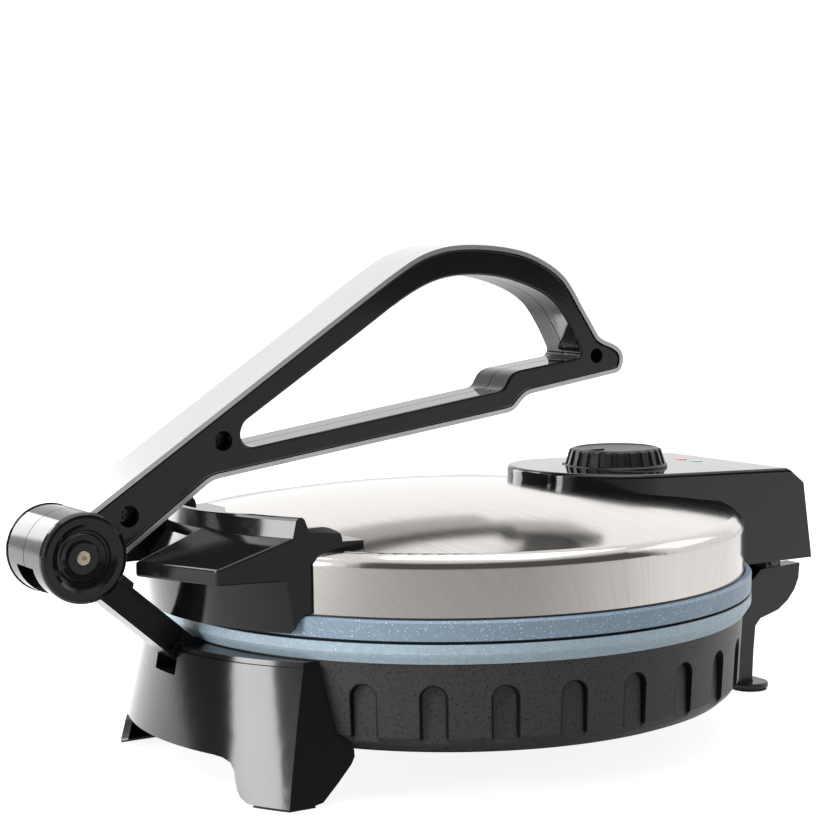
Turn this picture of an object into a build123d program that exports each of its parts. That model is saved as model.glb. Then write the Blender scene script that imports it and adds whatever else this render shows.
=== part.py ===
from build123d import *
from math import atan, atan2, cos, degrees, hypot, pi, radians, sin
import os

# Electric roti maker. Millimetres, +Z up. The lever and the lid grip are at the front (-Y), the
# hinge and the knob at the back (+Y). It is drawn about the axis of the plates, and written out
# about the middle of its footprint on the counter.

# ---- driving dimensions -------------------------------------------------------------
FOOTPRINT_SHIFT = 13.25  # from the plate axis to the middle of the footprint, along Y
PLATE_R = 133.0          # outer radius of the heating plates at the parting line
SEAM_Z = 66.0            # height of the parting line between the plates
PLATE_GAP = 0.3          # half of the gap between the rims
LOWER_Z = 57.0           # underside of the lower plate rim
UPPER_Z = 74.7           # top of the upper plate rim
COOK_R = 121.0           # radius of the flat cooking faces
ROTI_HALF = 1.5          # half height of the space left for the dough

BODY_BOTTOM_Z = 18.6
BODY_BOTTOM_R = 117.3
BODY_CREASE_Z = 26.5
BODY_CREASE_R = 127.4
BODY_TOP_R = 129.3
BODY_WALL = 4.2
FLUTES = 28
FLUTE_PHASE = 1.8        # degrees
FLUTE_W = 10.4
FLUTE_DEPTH = 1.9
FLUTE_TOP_Z = 47.6

LID_R = 130.0
LID_WALL = 0.9
LID_Z = 75.4             # lower edge of the steel lid
DOME_R = 124.4
DOME_EDGE_Z = 100.2
DOME_TOP_Z = 112.6

SWING = 101.2            # degrees from rest to the lever thrown forward
PRESS = 6.5              # degrees from rest down to the grip
DRUM_Y = -188.3          # axis of the lever barrel
DRUM_Z = 99.0
DRUM_R = 18.15
DRUM_HALF = 17.2         # half length of the barrel without the caps
CAP_HALF = 20.75
PIN_R = 3.0
LEVER_HALF = 14.5
PLATE_INSET = 2.0        # how far the black plates stand inside the band
LEVER_SKIN = 2.4
SLOT_HALF = 8.9

ARM_Y = -136.0           # pivot of the arm in the front bracket
ARM_Z = 53.4
ARM_HALF = 8.2
ARM_LOW = 7.2            # arm edges measured from the line between its two axes
ARM_UP = 4.8
ARM_EYE_R = 11.0
ARM_HUB_R = 6.2
ARM_PIN_R = 2.5

HINGE_Y = 164.0
HINGE_Z = 66.2
HINGE_EYE_R = 4.6
HINGE_PIN_R = 2.0

BRACKET_TOP_Z = 54.5
BRACKET_FOOT_Z = 1.0     # the pads are below it
BRACKET_WALL = 2.6
LIP_INSET = 1.6          # the lip against the body stands this far inside the skirt
LIP_TOP_Z = 56.5
ARCH_Z = 17.5
BRACKET_SCREWS = [(44.0, 37.5), (66.0, 33.0)]     # (x, z), repeated on the other side

HINGE_CHEEK = 30.0       # half width over the cheeks of the rear bracket
HOUSING_HALF = 45.0
HOUSING_TIP_Y = 38.3
HOUSING_FRONT_Z = 117.0
HOUSING_REAR_Z = 112.6
HOUSING_WALL = 2.4
KNOB_Y = 91.0
KNOB_RIBS = 24

os.makedirs("parts", exist_ok=True)
parts = {}


# ---- small helpers ------------------------------------------------------------------
def turned(points):
    """Solid of revolution about the plate axis from a closed (radius, height) outline."""
    outline = Polyline(*points, close=True)
    return revolve(Plane.XZ * make_face(outline), Axis.Z, 360)


def turned_edges(edges):
    """Solid of revolution from edges drawn in the (radius, height) plane."""
    return revolve(Plane.XZ * make_face(Wire(edges)), Axis.Z, 360)


def turned_x(points, y, z):
    """Solid of revolution about an X-parallel axis, outline given as (x, radius)."""
    outline = Polyline(*points, close=True)
    return Pos(0, y, z) * revolve(make_face(outline), Axis.X, 360)


def slab_x(points, x0, x1):
    """Prism along X from a closed (y, z) outline."""
    face = make_face(Polyline(*points, close=True))
    return extrude(Plane.YZ.offset(x0) * face, amount=x1 - x0)


def slab_z(points, z0, z1):
    """Prism along Z from a closed (x, y) outline."""
    face = make_face(Polyline(*points, close=True))
    return extrude(Plane.XY.offset(z0) * face, amount=z1 - z0)


def rod_x(y, z, radius, x0, x1):
    return Pos((x0 + x1) / 2, y, z) * Rot(0, 90, 0) * Cylinder(radius, x1 - x0)


def rod_z(x, y, radius, z0, z1):
    return Pos(x, y, (z0 + z1) / 2) * Cylinder(radius, z1 - z0)


def block(x0, x1, y0, y1, z0, z1):
    return Pos((x0 + x1) / 2, (y0 + y1) / 2, (z0 + z1) / 2) * Box(x1 - x0, y1 - y0, z1 - z0)


def both_sides(shape):
    return shape + mirror(shape, Plane.YZ)


def polar(angle, radius, y=0.0, z=0.0):
    return (y + radius * cos(radians(angle)), z + radius * sin(radians(angle)))


def pie_x(a0, a1, radius, x0, x1, y, z):
    """Wedge about an X-parallel axis between two angles."""
    steps = 12
    arc = [polar(a0 + (a1 - a0) * i / steps, radius, y, z) for i in range(steps + 1)]
    return slab_x([(y, z)] + arc, x0, x1)


def screw(x, y, z, head_r, head_h, shank_r, shank_l):
    """Pan-head screw pointing up, with a cross recess in its head, z at the head's face."""
    head = rod_z(x, y, head_r, z, z + head_h)
    head = chamfer(head.edges().sort_by(Axis.Z)[:1], head_h * 0.3)
    shank = rod_z(x, y, shank_r, z + head_h, z + head_h + shank_l)
    slot = block(x - head_r * 0.6, x + head_r * 0.6, y - 0.4, y + 0.4, z, z + head_h * 0.5)
    cross = block(x - 0.4, x + 0.4, y - head_r * 0.6, y + head_r * 0.6, z, z + head_h * 0.5)
    return head + shank - slot - cross


def rod_y(x, z, radius, y0, y1):
    return Pos(x, (y0 + y1) / 2, z) * Rot(90, 0, 0) * Cylinder(radius, y1 - y0)


def wall_front(x, radius):
    """Front (-Y) position of a round wall at a given x."""
    return -((radius ** 2 - x ** 2) ** 0.5)


# ---- lower body ---------------------------------------------------------------------
def body_outer_solid(grow=0.0):
    return turned([
        (0, BODY_BOTTOM_Z - grow),
        (BODY_BOTTOM_R + grow * 0.5, BODY_BOTTOM_Z - grow),
        (BODY_BOTTOM_R + 4.2 + grow * 0.7, BODY_BOTTOM_Z + 1.6 - grow * 0.7),
        (BODY_CREASE_R - 2.6 + grow * 0.8, BODY_CREASE_Z - 3.4 - grow * 0.6),
        (BODY_CREASE_R + grow, BODY_CREASE_Z),
        (BODY_TOP_R + grow, LOWER_Z),
        (0, LOWER_Z),
    ])


def flute_tool():
    """One arch-topped flute, open at the bottom."""
    half = FLUTE_W / 2
    arch = [(-half, 10), (half, 10), (half, FLUTE_TOP_Z - half)]
    for i in range(1, 12):
        a = pi * i / 12
        arch.append((half * cos(a), FLUTE_TOP_Z - half + half * sin(a)))
    arch.append((-half, FLUTE_TOP_Z - half))
    face = make_face(Polyline(*arch, close=True))
    tool = extrude(Plane.YZ.offset(BODY_CREASE_R - FLUTE_DEPTH) * face, amount=12, taper=-8)
    return tool


body = body_outer_solid()
inner_r = BODY_CREASE_R - BODY_WALL
body -= turned([
    (0, BODY_BOTTOM_Z - 1),
    (BODY_BOTTOM_R - 5.0, BODY_BOTTOM_Z - 1),
    (BODY_BOTTOM_R - 5.0, BODY_BOTTOM_Z + 2.4),
    (BODY_BOTTOM_R - 3.0, BODY_BOTTOM_Z + 4.0),
    (inner_r - 0.5, BODY_CREASE_Z + 1.5),
    (BODY_TOP_R - BODY_WALL, LOWER_Z - 4.0),
    (BODY_TOP_R - BODY_WALL, LOWER_Z + 1),
    (0, LOWER_Z + 1),
])
flute = flute_tool()
for k in range(FLUTES):
    angle = FLUTE_PHASE + 360.0 * k / FLUTES
    off_front = abs((angle + 90 + 180) % 360 - 180)
    off_back = abs((angle - 90 + 180) % 360 - 180)
    if off_front > 37 and off_back > 24:
        body -= Rot(0, 0, angle) * flute
# bosses for the screws of the bottom cover
COVER_SCREW_R = 104.0
COVER_SCREWS = 6
for k in range(COVER_SCREWS):
    a = radians(30 + 60 * k)
    x = COVER_SCREW_R * cos(a)
    y = COVER_SCREW_R * sin(a)
    web = Rot(0, 0, 30 + 60 * k) * block(COVER_SCREW_R, BODY_CREASE_R - 3, -1.2, 1.2, 26, 44)
    boss = rod_z(x, y, 4.2, 22.0, 44.0) + web
    body += boss - rod_z(x, y, 1.5, 21.0, 38.0)
# bore for the cord bush at the back
CORD_X = -62.0
CORD_Y = 109.0
CORD_Z = 37.0
cord_turn = degrees(atan2(CORD_Y, CORD_X))
body -= Rot(0, 0, cord_turn) * Pos(124, 0, CORD_Z) * Rot(0, 90, 0) * Cylinder(5.0, 30)
for spot in BRACKET_SCREWS:
    for x in (-spot[0], spot[0]):
        y_wall = wall_front(x, BODY_TOP_R - 2.0)
        body += rod_y(x, spot[1], 4.6, y_wall + 1.4, y_wall + 8.0)
        body -= rod_y(x, spot[1], 1.6, y_wall - 8.0, y_wall + 9.0)
parts["base_shell"] = body

cover = turned([
    (0, BODY_BOTTOM_Z + 0.3),
    (BODY_BOTTOM_R - 5.3, BODY_BOTTOM_Z + 0.3),
    (BODY_BOTTOM_R - 5.3, BODY_BOTTOM_Z + 2.1),
    (BODY_BOTTOM_R - 6.8, BODY_BOTTOM_Z + 3.1),
    (0, BODY_BOTTOM_Z + 3.1),
])
cover -= turned([
    (0, BODY_BOTTOM_Z + 1.7),
    (BODY_BOTTOM_R - 18.0, BODY_BOTTOM_Z + 1.7),
    (BODY_BOTTOM_R - 20.0, BODY_BOTTOM_Z + 4),
    (0, BODY_BOTTOM_Z + 4),
])
cover -= turned([(0, 17), (86, 17), (86, BODY_BOTTOM_Z + 0.9), (0, BODY_BOTTOM_Z + 0.9)])
for k in range(COVER_SCREWS):
    a = radians(30 + 60 * k)
    cover -= rod_z(COVER_SCREW_R * cos(a), COVER_SCREW_R * sin(a), 1.9, 18, 24)
# cooling louvres in the cover
for row in range(-3, 4):
    reach = 34 if abs(row) < 2 else 26
    cover -= block(-reach, reach, row * 11.0 - 1.6, row * 11.0 + 1.6, 18, 24)
parts["base_bottom_cover"] = cover

cover_screws = None
for k in range(COVER_SCREWS):
    a = radians(30 + 60 * k)
    one = screw(COVER_SCREW_R * cos(a), COVER_SCREW_R * sin(a), 17.3, 3.4, 1.6, 1.45, 12.0)
    cover_screws = one if cover_screws is None else cover_screws + one
parts["base_cover_screws"] = cover_screws

bush = Pos(126.0, 0, 0) * Rot(0, 90, 0) * Cylinder(4.9, 8.0)
bush += Pos(130.6, 0, 0) * Rot(0, 90, 0) * Cone(7.2, 5.6, 3.6)
bush += Pos(121.6, 0, 0) * Rot(0, 90, 0) * Cylinder(6.4, 2.0)
bush -= Pos(127, 0, 0) * Rot(0, 90, 0) * Cylinder(3.1, 20)
parts["cord_bush"] = Rot(0, 0, cord_turn) * Pos(0, 0, CORD_Z) * bush

terminal = block(-42, -12, 84, 98, 22.3, 36)
for k in range(3):
    terminal -= rod_z(-37 + 10 * k, 91, 2.4, 30, 40)
    terminal += rod_z(-37 + 10 * k, 91, 1.9, 30, 33)
terminal -= block(-32.6, -31.4, 82, 100, 31, 40)
terminal -= block(-22.6, -21.4, 82, 100, 31, 40)
parts["terminal_block"] = terminal


# ---- heating plates and elements ----------------------------------------------------
low_top = SEAM_Z - PLATE_GAP
cook_low = SEAM_Z - ROTI_HALF
lower_plate = turned([
    (0, cook_low - 5.0),
    (76.0, cook_low - 5.0),
    (77.0, cook_low - 8.6),
    (97.0, cook_low - 8.6),
    (98.0, cook_low - 5.0),
    (121.0, cook_low - 5.0),
    (122.5, LOWER_Z + 0.05),
    (BODY_TOP_R + 0.9, LOWER_Z + 0.05),
    (PLATE_R - 0.6, LOWER_Z + 3.2),
    (PLATE_R, LOWER_Z + 4.4),
    (PLATE_R, low_top - 0.5),
    (PLATE_R - 0.5, low_top),
    (COOK_R + 3.0, low_top),
    (COOK_R, cook_low),
    (0, cook_low),
])
ELEMENT_R = 87.0
ELEMENT_TUBE = 3.3
lower_el_z = cook_low - 8.6
lower_plate -= Pos(0, 0, lower_el_z) * Torus(ELEMENT_R, ELEMENT_TUBE)
parts["lower_heating_plate"] = lower_plate

up_bottom = SEAM_Z + PLATE_GAP
cook_up = SEAM_Z + ROTI_HALF
upper_el_z = cook_up + 8.6
upper_plate = turned([
    (0, cook_up),
    (COOK_R, cook_up),
    (COOK_R + 3.0, up_bottom),
    (PLATE_R - 0.5, up_bottom),
    (PLATE_R, up_bottom + 0.5),
    (PLATE_R + 0.2, UPPER_Z - 0.8),
    (PLATE_R - 0.6, UPPER_Z),
    (124.0, UPPER_Z),
    (122.0, cook_up + 5.0),
    (98.0, cook_up + 5.0),
    (97.0, cook_up + 8.6),
    (77.0, cook_up + 8.6),
    (76.0, cook_up + 5.0),
    (0, cook_up + 5.0),
])
upper_plate -= Pos(0, 0, upper_el_z) * Torus(ELEMENT_R, ELEMENT_TUBE)
parts["upper_heating_plate"] = upper_plate


def element(z, up, ends_at):
    """Tubular element: an open ring with two cold ends turned away from the plate."""
    tube = ELEMENT_TUBE - 0.15
    open_half = 10.0
    section = Plane.XZ * Pos(ELEMENT_R, z) * Circle(tube)
    shape = Rot(0, 0, open_half) * revolve(section, Axis.Z, 360 - 2 * open_half)
    for side in (-1, 1):
        a = radians(side * open_half)
        x = ELEMENT_R * cos(a)
        y = ELEMENT_R * sin(a)
        low = min(z, z + up * 9.0)
        shape += Pos(x, y, z) * Sphere(tube + 0.06)
        shape += rod_z(x, y, tube - 0.2, low, low + 9.0)
        low = min(z + up * 8.0, z + up * 14.0)
        shape += rod_z(x, y, 1.4, low, low + 6.0)
    return Rot(0, 0, ends_at) * shape


parts["lower_heating_element"] = element(lower_el_z, -1, 90)
parts["upper_heating_element"] = element(upper_el_z, 1, 140)

rim_ring = turned([
    (123.0, UPPER_Z + 0.05),
    (LID_R + 0.5, UPPER_Z + 0.05),
    (LID_R + 0.5, LID_Z - 0.05),
    (LID_R - LID_WALL - 0.3, LID_Z - 0.05),
    (LID_R - LID_WALL - 0.3, LID_Z + 4.0),
    (LID_R - LID_WALL - 2.5, LID_Z + 4.0),
    (LID_R - LID_WALL - 2.5, UPPER_Z + 1.8),
    (123.0, UPPER_Z + 1.8),
])
parts["lid_insulating_ring"] = rim_ring


# ---- lid shell ----------------------------------------------------------------------
def lid_profile(drop):
    """Edges of the lid outline from the axis down to the rim, inset by drop."""
    wall_r = LID_R - drop
    dome_top = (0, DOME_TOP_Z - drop)
    dome_edge = (DOME_R, DOME_EDGE_Z - drop)
    bulge_r = (DOME_R ** 2 + (DOME_TOP_Z - DOME_EDGE_Z) ** 2) / (2 * (DOME_TOP_Z - DOME_EDGE_Z))
    mid_r = DOME_R / 2
    sag = bulge_r - (bulge_r ** 2 - mid_r ** 2) ** 0.5
    mid = (mid_r, DOME_TOP_Z - drop - sag)
    dome = ThreePointArc(dome_top, mid, dome_edge)
    crease = Line(dome_edge, (DOME_R + 0.6, DOME_EDGE_Z - drop + 0.3))
    shoulder_start = (DOME_R + 0.6, DOME_EDGE_Z - drop + 0.3)
    shoulder_mid = (LID_R - drop - 1.35, 98.4 - drop * 0.5)
    shoulder_end = (wall_r, 94.0)
    shoulder = ThreePointArc(shoulder_start, shoulder_mid, shoulder_end)
    wall = Line(shoulder_end, (wall_r, LID_Z))
    return [dome, crease, shoulder, wall]


def lid_solid(drop, floor_z):
    edges = lid_profile(drop)
    wall_r = LID_R - drop
    if floor_z < LID_Z:
        edges.append(Line((wall_r, LID_Z), (wall_r, floor_z)))
    edges.append(Line((wall_r, floor_z), (0, floor_z)))
    edges.append(Line((0, floor_z), (0, DOME_TOP_Z - drop)))
    return turned_edges(edges)


lid_full = lid_solid(0.0, LID_Z)
lid_envelope = lid_solid(0.0, 60.0)
lid_inside = lid_solid(LID_WALL, 70.0)
THERMO_R = 17.5
lid_shell = lid_full - lid_inside
lid_shell -= rod_z(0, KNOB_Y, THERMO_R + 1.0, 90, 125)
lid_shell -= block(-12, 12, 131 - 8, 136, 84, 94)
parts["lid_shell"] = lid_shell


# ---- lid grip -----------------------------------------------------------------------
def side_x(y):
    """Half width of the grip: its two side faces spread slightly to the back."""
    return 60.5 + (y + 149.3) * 0.2


GRIP_ARC_R = 110.0       # the front of the skirt is flatter than the lid
GRIP_BOTTOM_Z = 68.0
WING_UNDER_Z = 89.3
WING_EDGE_Z = 95.7       # height of the wings along their front edge
WING_RISE = 0.412
WING_FRONT = [(20.0, -165.4), (60.5, -149.6)]
EAR_DEPTH = 7.0

grip_plan = slab_z([
    (-side_x(-180), -180), (side_x(-180), -180), (side_x(-90), -90), (-side_x(-90), -90),
], 60, 120)


def skirt_arc(z):
    """Front arc of the skirt, its middle moving forward with height."""
    return Plane.XY.offset(z) * Pos(0, -31.4 - 0.121 * (z - 68.5)) * Circle(GRIP_ARC_R)


skirt = loft([skirt_arc(GRIP_BOTTOM_Z), skirt_arc(104.0)])
skirt &= turned([(0, 60), (151, 60), (151, 86), (136.4, 102), (136.4, 110), (0, 110)])
ridge = turned([
    (128.0, 92.0), (136.4, 92.0), (136.4, 106.4), (135.3, 113.2), (134.7, 114.2), (133.9, 114.6),
    (133.4, 114.6), (132.6, 113.7), (131.6, 110.0), (131.4, 106.0), (131.4, 98.0), (128.0, 98.0),
])
front_run = atan2(WING_FRONT[1][1] - WING_FRONT[0][1], WING_FRONT[1][0] - WING_FRONT[0][0])


def grip_wing(side):
    """Thumb wing: a thick plate that rises from its front edge to the foot of the ridge."""
    wing = slab_z([
        (side * (WING_FRONT[0][0] - 1), WING_FRONT[0][1] - 0.4), (side * WING_FRONT[1][0], WING_FRONT[1][1]),
        (side * side_x(-112), -112), (side * (WING_FRONT[0][0] - 1), -112),
    ], WING_UNDER_Z, 124)
    place = Pos(side * WING_FRONT[0][0], WING_FRONT[0][1], WING_EDGE_Z) * Rot(0, 0, side * degrees(front_run))
    wing -= place * Rot(degrees(atan(WING_RISE)), 0, 0) * Pos(0, 40, 20) * Box(180, 140, 40)
    nose = wing.edges().filter_by(Axis.Z).sort_by_distance((side * WING_FRONT[1][0], WING_FRONT[1][1], 92))[0]
    wing = fillet(nose, 3.0)
    top = wing.faces().sort_by(Axis.Z)[-1]
    wing = fillet(top.edges().filter_by(lambda e: e.center().Y < -114), 1.1)
    under = wing.faces().sort_by(Axis.Z)[0]
    return fillet(under.edges().filter_by(lambda e: e.center().Y < -146.5), 1.3)


wings = (grip_wing(-1) + grip_wing(1)) - turned([(0, 60), (134.0, 60), (134.0, 130), (0, 130)])
grip = ((skirt + ridge) & grip_plan) + wings
# an ear runs back from each end of the ridge, over the shoulder of the lid
ear = slab_x([
    (-117.0, 95.5), (-111.8, 96.3), (-110.7, 99.1), (-108.6, 100.6), (-104.0, 102.1), (-98.8, 103.0),
    (-98.8, 105.3), (-99.3, 106.9), (-100.4, 108.2), (-102.0, 109.2), (-104.0, 109.6), (-117.0, 109.6),
], 50, 80)
ear &= slab_z([
    (side_x(-120), -120), (side_x(-95), -95), (side_x(-95) - EAR_DEPTH, -95), (side_x(-120) - EAR_DEPTH, -120),
], 90, 116)
ear_top = make_face(Polyline((40, 90), (76, 90), (76, 105.2), (70.6, 107.2), (69.4, 107.9), (63.4, 110.0), (40, 110), close=True))
ear &= extrude(Plane.XZ.offset(90.0) * ear_top, amount=30)
grip += both_sides(ear)
# the ends of the skirt beside the plate rim
grip -= slab_x([
    (-119.9, 60), (-119.9, 68.3), (-118.9, 69.8), (-117.3, 72.6), (-115.9, 74.0), (-112.2, 74.3),
    (-90, 74.3), (-90, 60),
], -90, 90)
# clear of the shoulder, and open behind the ends of the ridge
grip -= slab_x([(-112.0, 60), (-112.0, 95.8), (-90, 95.8), (-90, 60)], -90, 90)
# shallow saddle in the top of the ridge, under the lever
SADDLE_R = 780.0
grip -= rod_y(0, 113.3 + SADDLE_R, SADDLE_R, -150, -125)
plate_clear = turned([(0, 60), (PLATE_R + 0.6, 60), (PLATE_R + 0.6, LID_Z), (0, LID_Z)])
grip -= lid_envelope
grip -= plate_clear
parts["lid_grip"] = grip


# ---- rear housing -------------------------------------------------------------------
def housing_top(y):
    return HOUSING_FRONT_Z + (HOUSING_REAR_Z - HOUSING_FRONT_Z) * (y - 32.0) / 128.0


def housing_plan(inset, z0, z1):
    half = HOUSING_HALF - inset
    centre_y = HOUSING_TIP_Y + HOUSING_HALF
    bar = block(-half, half, centre_y, 190, z0, z1)
    return bar + rod_z(0, centre_y, half, z0, z1)


def housing_side(inset):
    low = 68.7 - 4.0 * inset
    return slab_x([
        (20, housing_top(20) - inset), (159.7, housing_top(159.7) - inset),
        (169.3 - inset * 1.2, 105.1 - inset * 0.6), (174.3 - inset, low), (20, low),
    ], -60, 60)


housing = housing_plan(0, 60, 130) & housing_side(0)
edges = housing.edges().filter_by(lambda e: e.center().Z > 111.0 and e.center().Y < 158.0)
housing = fillet(edges, 1.8)
hollow = housing_plan(HOUSING_WALL, 55, 130) & housing_side(HOUSING_WALL)
housing -= hollow
housing -= lid_envelope
housing -= plate_clear
# clearance over the base hinge bracket
housing -= block(-HINGE_CHEEK - 1.5, HINGE_CHEEK + 1.5, 168, 180, 60, 77)
# flat seat under the knob
KNOB_SEAT_Z = 114.2
housing += rod_z(0, KNOB_Y, 25.2, KNOB_SEAT_Z - 2.0, KNOB_SEAT_Z) - lid_envelope
housing -= rod_z(0, KNOB_Y, 25.3, KNOB_SEAT_Z, 125)
housing -= rod_z(0, KNOB_Y, 3.6, 100, 125)
LENSES = {"red": (-12.0, 140.5), "green": (-1.5, 141.5)}
for spot in LENSES.values():
    housing -= rod_z(spot[0], spot[1], 3.2, 105, 125)
# hinge lug on the inside, carried on three ribs
LUG_HALF = 20.0
lug = rod_x(HINGE_Y, HINGE_Z, HINGE_EYE_R, -LUG_HALF, LUG_HALF)
for x in (-18.3, 4.9, 18.0):
    lug += slab_x([
        (HINGE_Y - HINGE_EYE_R, HINGE_Z), (HINGE_Y + 3.6, HINGE_Z + 2.6),
        (HINGE_Y + 3.0, 104.0), (135.0, 110.0), (135.0, 96.0), (HINGE_Y - 14.0, 78.0),
    ], x - 1.5, x + 1.5)
lug -= lid_envelope
lug &= housing_plan(0.5, 55, 130) & housing_side(0.5)
lug += rod_x(HINGE_Y, HINGE_Z, HINGE_EYE_R, -LUG_HALF, LUG_HALF)
lug -= plate_clear
housing += lug
housing -= rod_x(HINGE_Y, HINGE_Z, HINGE_PIN_R + 0.06, -40, 40)
parts["rear_housing"] = housing

for name, spot in LENSES.items():
    top = housing_top(spot[1])
    lens = rod_z(spot[0], spot[1], 3.15, top - 3.2, top + 0.3)
    lens = fillet(lens.edges().sort_by(Axis.Z)[-1:], 0.7)
    lens += rod_z(spot[0], spot[1], 4.2, top - 4.0, top - 3.0)
    parts["indicator_lens_" + name] = lens

KNOB_Z = KNOB_SEAT_Z + 0.35
knob_core = turned([
    (0, 0), (24.6, 0), (24.6, 1.0), (23.9, 1.6), (22.3, 1.8), (21.0, 7.6), (20.7, 8.3),
    (20.1, 8.9), (19.3, 9.1), (18.5, 9.0), (17.7, 8.5), (12.0, 8.2), (0, 8.0),
])
knob = knob_core
rib = slab_x([(21.6, 1.7), (23.7, 1.7), (21.8, 8.1), (20.6, 8.6), (19.6, 8.6)], -1.15, 1.15)
for k in range(KNOB_RIBS):
    knob += Rot(0, 0, 360.0 * k / KNOB_RIBS) * rib
knob += block(-0.9, 0.9, -17.2, -7.0, 8.0, 8.9)
knob -= rod_z(0, 0, 20.0, -1, 0.6) - rod_z(0, 0, 6.0, -1, 0.6)
knob -= rod_z(0, 0, 3.06, -1, 6.4) - block(-4, 4, 2.1, 5, -1, 7)
knob = Pos(0, KNOB_Y, KNOB_Z) * knob
parts["thermostat_knob"] = knob

shaft = rod_z(0, 0, 3.0, 92.0, KNOB_Z + 6.0) - block(-4, 4, 2.06, 5, KNOB_Z - 0.6, KNOB_Z + 8)
thermo = rod_z(0, 0, THERMO_R - 2.5, 84.0, 98.0)
thermo += rod_z(0, 0, 8.0, 98.0, 101.0)
thermo += block(-19, 19, -6, 6, 82.6, 84.0)
thermo += block(-3, 3, 13.5, 21, 88, 89)
thermo += block(-3, 3, -21, -13.5, 92, 93)
thermo -= rod_z(0, 0, 3.05, 91.9, 104.0)
parts["thermostat"] = Pos(0, KNOB_Y, 0) * thermo
parts["thermostat_shaft"] = Pos(0, KNOB_Y, 0) * shaft

# ---- rear bracket, hinge pin --------------------------------------------------------
cheek_profile = [
    (126.0, 56.6), (150.0, 57.4), (156.0, 62.4), (180.4, 63.4), (179.6, 56.0), (177.0, 50.5),
    (172.6, 45.6), (166.6, 41.6), (160.0, 39.8), (155.4, 38.6), (152.0, 35.0), (126.0, 33.0),
]
bracket = slab_x(cheek_profile, -HINGE_CHEEK, HINGE_CHEEK)
EAR_INNER = LUG_HALF + 0.6
bracket -= slab_x([
    (139, 70), (139, 52), (146, 46), (166, 46), (174, 56), (174, 61), (186, 61), (186, 70),
], -EAR_INNER, EAR_INNER)
bracket -= slab_x([(120, 70), (120, 52), (141, 52), (141, 70)], -EAR_INNER, EAR_INNER)
for side in (-1, 1):
    x0 = min(side * 21.4, side * 29.4)
    bracket += rod_x(HINGE_Y, HINGE_Z, HINGE_EYE_R, x0, x0 + 8.0)
    bracket += slab_x([
        (HINGE_Y - 4.5, 60), (HINGE_Y + 4.5, 60), (HINGE_Y + 4.5, HINGE_Z), (HINGE_Y - 4.5, HINGE_Z),
    ], x0, x0 + 8.0)
# leg and foot
bracket += slab_x([
    (152.0, 42.0), (169.0, 44.0), (166.6, 36.0), (164.9, 20.0), (164.0, 6.0), (164.6, 3.0), (157.0, 3.0),
    (155.2, 20.0), (151.0, 34.0),
], -14, 14)
FOOT_Y = 163.7
foot = block(-12, 12, FOOT_Y - 9.2, FOOT_Y + 9.2, 1.4, 3.8)
foot += rod_z(-12, FOOT_Y, 9.2, 1.4, 3.8) + rod_z(12, FOOT_Y, 9.2, 1.4, 3.8)
foot = fillet(foot.edges().group_by(Axis.Z)[-1], 0.8)
bracket += foot
bracket -= body_outer_solid(0.0)
bracket -= turned([(0, LOWER_Z - 0.1), (PLATE_R + 0.8, LOWER_Z - 0.1), (PLATE_R + 0.8, 80), (0, 80)])
bracket -= rod_x(HINGE_Y, HINGE_Z, HINGE_PIN_R + 0.01, -40, 40)
parts["rear_bracket"] = bracket

hinge_pin = rod_x(HINGE_Y, HINGE_Z, HINGE_PIN_R, -30.4, 30.4)
hinge_pin += rod_x(HINGE_Y, HINGE_Z, 3.0, -30.8, -29.45) + rod_x(HINGE_Y, HINGE_Z, 3.0, 29.45, 30.8)
parts["hinge_pin"] = hinge_pin

rear_pad = block(-12, 12, FOOT_Y - 8.6, FOOT_Y + 8.6, 0, 1.4)
rear_pad += rod_z(-12, FOOT_Y, 8.6, 0, 1.4) + rod_z(12, FOOT_Y, 8.6, 0, 1.4)
parts["rear_foot_pad"] = rear_pad


# ---- front bracket ------------------------------------------------------------------
def bracket_arc(z):
    """Radius and middle (y) of the front wall's arc at a height."""
    return 145.7 - 0.679 * z, -8.3 - 0.4954 * z


def bracket_front(x, z, inset):
    radius, middle = bracket_arc(z)
    return middle - ((radius - inset) ** 2 - x ** 2) ** 0.5


def bracket_x(z):
    """Half width of the front bracket at its creases."""
    return 79.9 - z / 6.0


def bracket_envelope(inset, z0, z1):
    """Solid inside the skirt's front wall and its two side faces."""
    rings = []
    for z in (z0, z1):
        radius, middle = bracket_arc(z)
        rings.append(Plane.XY.offset(z) * Pos(0, middle) * Circle(radius - inset))
    face = make_face(Polyline(
        (bracket_x(z0) - inset, z0), (bracket_x(z1) - inset, z1),
        (-bracket_x(z1) + inset, z1), (-bracket_x(z0) + inset, z0), close=True,
    ))
    return loft(rings) & extrude(Plane.XZ.offset(80.0) * face, amount=90)


SIDE_REAR = [
    (-118.2, -5), (-118.2, 1.0), (-114.6, 1.6), (-107.2, 8.0), (-100.2, 14.6), (-98.4, 17.4), (-98.3, 20.2),
    (-100.6, 23.6), (-107.3, 27.2), (-109.2, 41.2), (-111.3, BRACKET_TOP_Z + 3),
]
front = bracket_envelope(0, BRACKET_FOOT_Z, BRACKET_TOP_Z)
front &= slab_x([(-165, -5)] + SIDE_REAR + [(-165, BRACKET_TOP_Z + 3)], -100, 100)
# lip that closes the skirt against the body, set back from the skirt all round
lip = bracket_envelope(LIP_INSET, 20.0, LIP_TOP_Z)
lip &= slab_x([
    (-165, 21.0), (-99.6, 21.0), (-102.6, 27.2), (-105.4, 43.4), (-106.9, LIP_TOP_Z + 1), (-165, LIP_TOP_Z + 1),
], -100, 100)
front += lip
# inside of the skirt, with a solid block round the pin of the arm
hollow = bracket_envelope(BRACKET_WALL + LIP_INSET - 0.9, -5.0, LIP_TOP_Z - 2.2)
hollow -= block(-12.4, 12.4, -150, -120, 34, 60)
for x in (-50.0, 50.0):
    hollow -= block(x - 1.2, x + 1.2, -150, -120, 26, 60)
front -= hollow
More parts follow.
